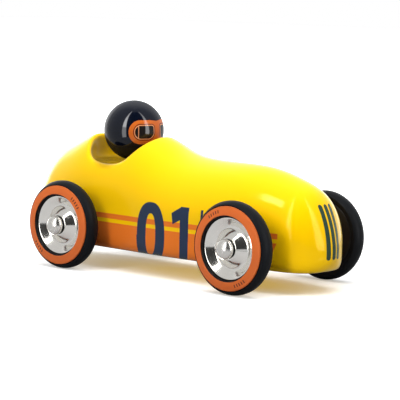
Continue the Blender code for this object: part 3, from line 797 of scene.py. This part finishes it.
def knob_profile():
    """Domed push-on cap over the axle's end: oblate dome, flat underside, blind bore."""
    rim, tall, rad = YO + 1.85, 3.6, 4.9
    dome = [(rad * math.sin(math.pi / 2 * i / 24), rim + tall * math.cos(math.pi / 2 * i / 24))
            for i in range(25)]
    return dome + [(4.82, YO + 1.62), (4.6, YO + 1.5), (1.8, YO + 1.5), (1.8, YO + 3.3),
                   (0.0, YO + 3.3)]


KNOB_P = knob_profile()
WASHER_P = rounded([(1.8, 25.2, 0.0), (4.6, 25.2, 0.15), (4.6, 25.8, 0.15), (1.8, 25.8, 0.0)], 3)
AXLE_P = [(0.0, -42.3), (1.2, -42.3), (1.5, -42.0), (1.5, 42.0), (1.2, 42.3), (0.0, 42.3)]
BUSH_P = rounded([(1.8, 12.0, 0.0), (3.0, 12.0, 0.2), (3.0, 24.0, 0.0), (4.3, 24.0, 0.1),
                  (4.3, 24.9, 0.25), (1.8, 24.9, 0.2)], 3)

MARKS = {("front", "right"): (118, 298), ("rear", "right"): (44, 224),
         ("front", "left"): (80, 260), ("rear", "left"): (150, 330)}


def add(ob, bodyname, node):
    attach(ob, bodyname)
    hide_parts(node)


for axle, centre, bodyname in (("rear", REAR, "rear_wheels"), ("front", FRONT, "front_wheels")):
    chrome = chrome_material(axle + "_chrome", centre)
    satin = chrome_material(axle + "_satin_chrome", centre, (0.80, 0.78, 0.735), 0.24)
    at = (centre[0], 0.0, centre[2])
    for side_name, side in (("left", 1.0), ("right", -1.0)):
        tag = axle + "_" + side_name + "_"
        ringm = ring_material(tag + "orange", centre, MARKS[(axle, side_name)], side)
        add(lathe(tag + "tyre_rubber", TYRE_P, RUBBER, 160, side=side, at=at),
            bodyname, tag + "tyre")
        add(lathe(tag + "rim_core", CORE_P, BLACK, 96, side=side, at=at),
            bodyname, tag + "wheel_core")
        add(lathe(tag + "orange_ring", RING_P, ringm, 160, side=side, at=at),
            bodyname, tag + "trim_ring")
        add(lathe(tag + "dished_hubcap", CAP_P, chrome, 160, side=side, at=at, sharp=60),
            bodyname, tag + "hubcap")
        add(lathe(tag + "domed_cap", KNOB_P, satin, 96, closed=False, side=side, at=at),
            bodyname, tag + "axle_cap")
        add(lathe(tag + "axle_washer", WASHER_P, ZINC, 64, side=side, at=at),
            bodyname, tag + "washer")
        if axle == "front":
            add(lathe("front_bush_" + side_name + "_flanged", BUSH_P, WHITE, 64,
                      side=side, at=at), "chassis", "front_bush_" + side_name)
    add(lathe(axle + "_axle_rod", AXLE_P, STEEL, 64, closed=False, at=at),
        bodyname, axle + "_axle")

# ---- carried-over CAD nodes: the motor and its cover ----
CARRIED = {
    "neck_dowel": WOOD, "motor_cover_plate": BLACK, "cover_screw_rear": ZINC,
    "cover_screw_front": ZINC, "motor_case_left": WHITE, "motor_case_right": WHITE,
    "idler_pin": STEEL, "spring_arbor": STEEL, "mainspring": BLUED,
    "axle_pinion": BRASS, "idler_gear": GEAR, "spring_gear": GEAR,
}
for node, mat in CARRIED.items():
    me = NODES[node].data
    me.materials.clear()
    me.materials.append(mat)


# =====================================================================
#  studio
# =====================================================================
def studio():
    sc = bpy.context.scene
    sc.view_settings.view_transform = "Standard"
    sc.view_settings.look = "None"
    sc.view_settings.exposure = 0.0
    # soft roll-off for the lamps' mirror images in the bright plating
    sc.cycles.sample_clamp_direct = 4.0

    # floor: one large pale sheet
    s = 6.0
    me = bpy.data.meshes.new("floor_sheet")
    me.from_pydata([(-s, -s, 0), (s, -s, 0), (s, s, 0), (-s, s, 0)], [], [(0, 1, 2, 3)])
    fl = bpy.data.objects.new("floor_sheet", me)
    sc.collection.objects.link(fl)
    fl.location.z = -0.00005
    fm = Mat("pale_floor")
    x, y, z = fm.coords()
    n = fm.noise(0.02, 2.0, 0.5)
    lpn = fm.t.nodes.new("ShaderNodeLightPath")
    seen = N(fm.t, lpn.outputs["Is Camera Ray"])
    shiny = N(fm.t, lpn.outputs["Is Glossy Ray"])
    fm.set("Base Color", fm.scale_colour(fm.rgb((0.80, 0.81, 0.83)),
                                         pick(seen, 0.93, pick(shiny, 0.42, 0.30)) + n * 0.01 - 0.005))
    fm.set("Roughness", 1.0)
    fm.set("Specular IOR Level", 0.0)
    # the sheet curves away and burns out to white far from the car
    far = ((length2(x, y) - 170.0) / 160.0).clamp()
    # painted light for the camera: warm bounce light painted on the sheet under the yellow body, over
    # an even emitted lift of the sheet's brightness
    painted_bounce_mask = inside(length2((x - 20.0) * 0.36, y) - 28.0, 30.0)
    lift_and_painted_bounce = fm.mix(painted_bounce_mask, (0.40, 0.40, 0.385), (0.45, 0.29, 0.055))
    fm.set("Emission Color", fm.mix(far, lift_and_painted_bounce, (1.0, 1.0, 1.0)))
    fm.set("Emission Strength", seen)
    # the sheet ends a short way in front: reflections see the lamps below its edge
    tr = fm.t.nodes.new("ShaderNodeBsdfTransparent")
    mx = fm.t.nodes.new("ShaderNodeMixShader")
    geo = fm.t.nodes.new("ShaderNodeNewGeometry")
    sp = fm.t.nodes.new("ShaderNodeSeparateXYZ")
    fm.t.links.new(geo.outputs["Incoming"], sp.inputs[0])
    steep = N(fm.t, sp.outputs[2]).abs().gt(0.20)
    dist = length2(x, y)
    gone = shiny * (((dist - 165.0) / 8.0).clamp() * steep).max(((dist - 330.0) / 10.0).clamp())
    fm.t.links.new(gone.s, mx.inputs[0])
    fm.t.links.new(fm.p.outputs[0], mx.inputs[1])
    fm.t.links.new(tr.outputs[0], mx.inputs[2])
    fm.t.links.new(mx.outputs[0], fm.t.nodes["Material Output"].inputs["Surface"])
    me.materials.append(fm.m)

    # world: white tent with a dark opening round the camera's direction
    w = bpy.data.worlds.new("studio_tent")
    sc.world = w
    w.use_nodes = True
    t = w.node_tree
    bg = t.nodes["Background"]
    tc = t.nodes.new("ShaderNodeTexCoord")
    sep = t.nodes.new("ShaderNodeSeparateXYZ")
    t.links.new(tc.outputs["Generated"], sep.inputs[0])
    x, y, z = (N(t, sep.outputs[i]) for i in range(3))
    az = x.atan2(-y) * (180 / math.pi)          # 0 towards -Y, 90 towards +X
    el = z._m("ARCSINE", z) * (180 / math.pi)
    up = el.max(0.0)
    # plain room: brighter towards the back left, where a window is
    back = inside((((az + 140.0 + 180.0).mod(360.0)) - 180.0).abs() - 45.0, 50.0)
    window = inside((az + 112.0).abs() - 14.0, 16.0) * inside(el - 22.0, 24.0)
    val = back * (0.75 - up * 0.006).max(0.0) + window * 2.2 + 0.58
    val = val + inside((((az + 139.0 + 180.0).mod(360.0)) - 180.0).abs() - 42.0, 40.0) \
        * inside(el - 12.0, 22.0) * 1.1
    # dark opening behind the camera, between two tall strip lights
    dark = inside((az - 51.0).abs() - 38.0, 3.0) * inside(el - 77.0, 6.0)
    val = pick(dark, 0.035, val)
    taper = up * 0.055
    one = inside((az - 4.2).abs() - (8.2 - taper), 2.5) * inside(el - 78.0, 5.0)
    two = inside((az - 96.0).abs() - (8.0 - taper), 2.5) * inside(el - 74.0, 5.0)
    fade = 1.0 - inside(52.0 - el, 24.0) * 0.42
    low_one = 0.40 + inside(14.0 - el, 5.0) * 0.60
    val = pick(one, fade * low_one * 14.0, val)
    val = pick(two, fade * 8.0, val)
    lp = t.nodes.new("ShaderNodeLightPath")
    cam_ray = N(t, lp.outputs["Is Camera Ray"])
    soft_ray = N(t, lp.outputs["Is Diffuse Ray"])
    side_fill = 1.0 + inside((az + 50.0).abs() - 45.0, 30.0) * 0.62 \
        - inside((az - 80.0).abs() - 30.0, 20.0) * 0.10
    val = pick(soft_ray, val * side_fill * (0.265 + (up / 60.0).min(1.0) * 0.36), val)
    val = pick(cam_ray, 1.0, val)
    t.links.new(val.s, bg.inputs["Strength"])
    bg.inputs["Color"].default_value = (1.0, 1.0, 1.0, 1.0)

    def area(name, loc, target, size, size_y, power, col=(1, 1, 1), glossy=False):
        ld = bpy.data.lights.new(name, "AREA")
        ld.shape = "RECTANGLE"
        ld.size, ld.size_y = size, size_y
        ld.energy = power
        ld.color = col
        lo = bpy.data.objects.new(name, ld)
        sc.collection.objects.link(lo)
        lo.location = loc
        d = Vector(target) - Vector(loc)
        lo.rotation_euler = d.to_track_quat("-Z", "Y").to_euler()
        lo.visible_glossy = glossy
        lo.visible_camera = False
        return lo

    area("overhead_softbox", (0.15, -0.10, 1.1), (0, 0, 0), 1.2, 1.2, 16.5)

    # a small window high on the right, which only the lacquered body mirrors
    only_body = bpy.data.collections.new("lacquer_only")
    only_body.objects.link(body)
    a_, e_ = math.radians(-22.5), math.radians(50.5)
    way = Vector((math.cos(e_) * math.sin(a_), -math.cos(e_) * math.cos(a_), math.sin(e_)))
    aim = Vector((0.070, -0.0165, 0.0425))
    win = area("shoulder_window", aim + way * 1.2, aim, 0.095, 0.26, 4.2, (1.0, 0.97, 0.92), True)
    win.visible_diffuse = False
    win.rotation_euler = (win.rotation_euler.to_quaternion()
                          @ Quaternion((0, 0, 1), math.radians(15.0))).to_euler()
    win.light_linking.receiver_collection = only_body

    # camera at the photograph's viewing angle
    cd = bpy.data.cameras.new("camera")
    cam = bpy.data.objects.new("camera", cd)
    sc.collection.objects.link(cam)
    fwd = Vector((-0.65007543, 0.75134551, -0.11349831)).normalized()
    right = fwd.cross(Vector((0, 0, 1))).normalized()
    up = right.cross(fwd)
    roll = math.radians(1.24)
    r2 = right * math.cos(roll) + up * math.sin(roll)
    u2 = up * math.cos(roll) - right * math.sin(roll)
    m = Matrix(((r2.x, u2.x, -fwd.x, 0.584106), (r2.y, u2.y, -fwd.y, -0.664102),
                (r2.z, u2.z, -fwd.z, 0.137361), (0, 0, 0, 1)))
    cam.matrix_world = m
    cd.sensor_width = 36.0
    cd.lens = 161.49
    cd.clip_start, cd.clip_end = 0.01, 50.0
    sc.camera = cam


studio()
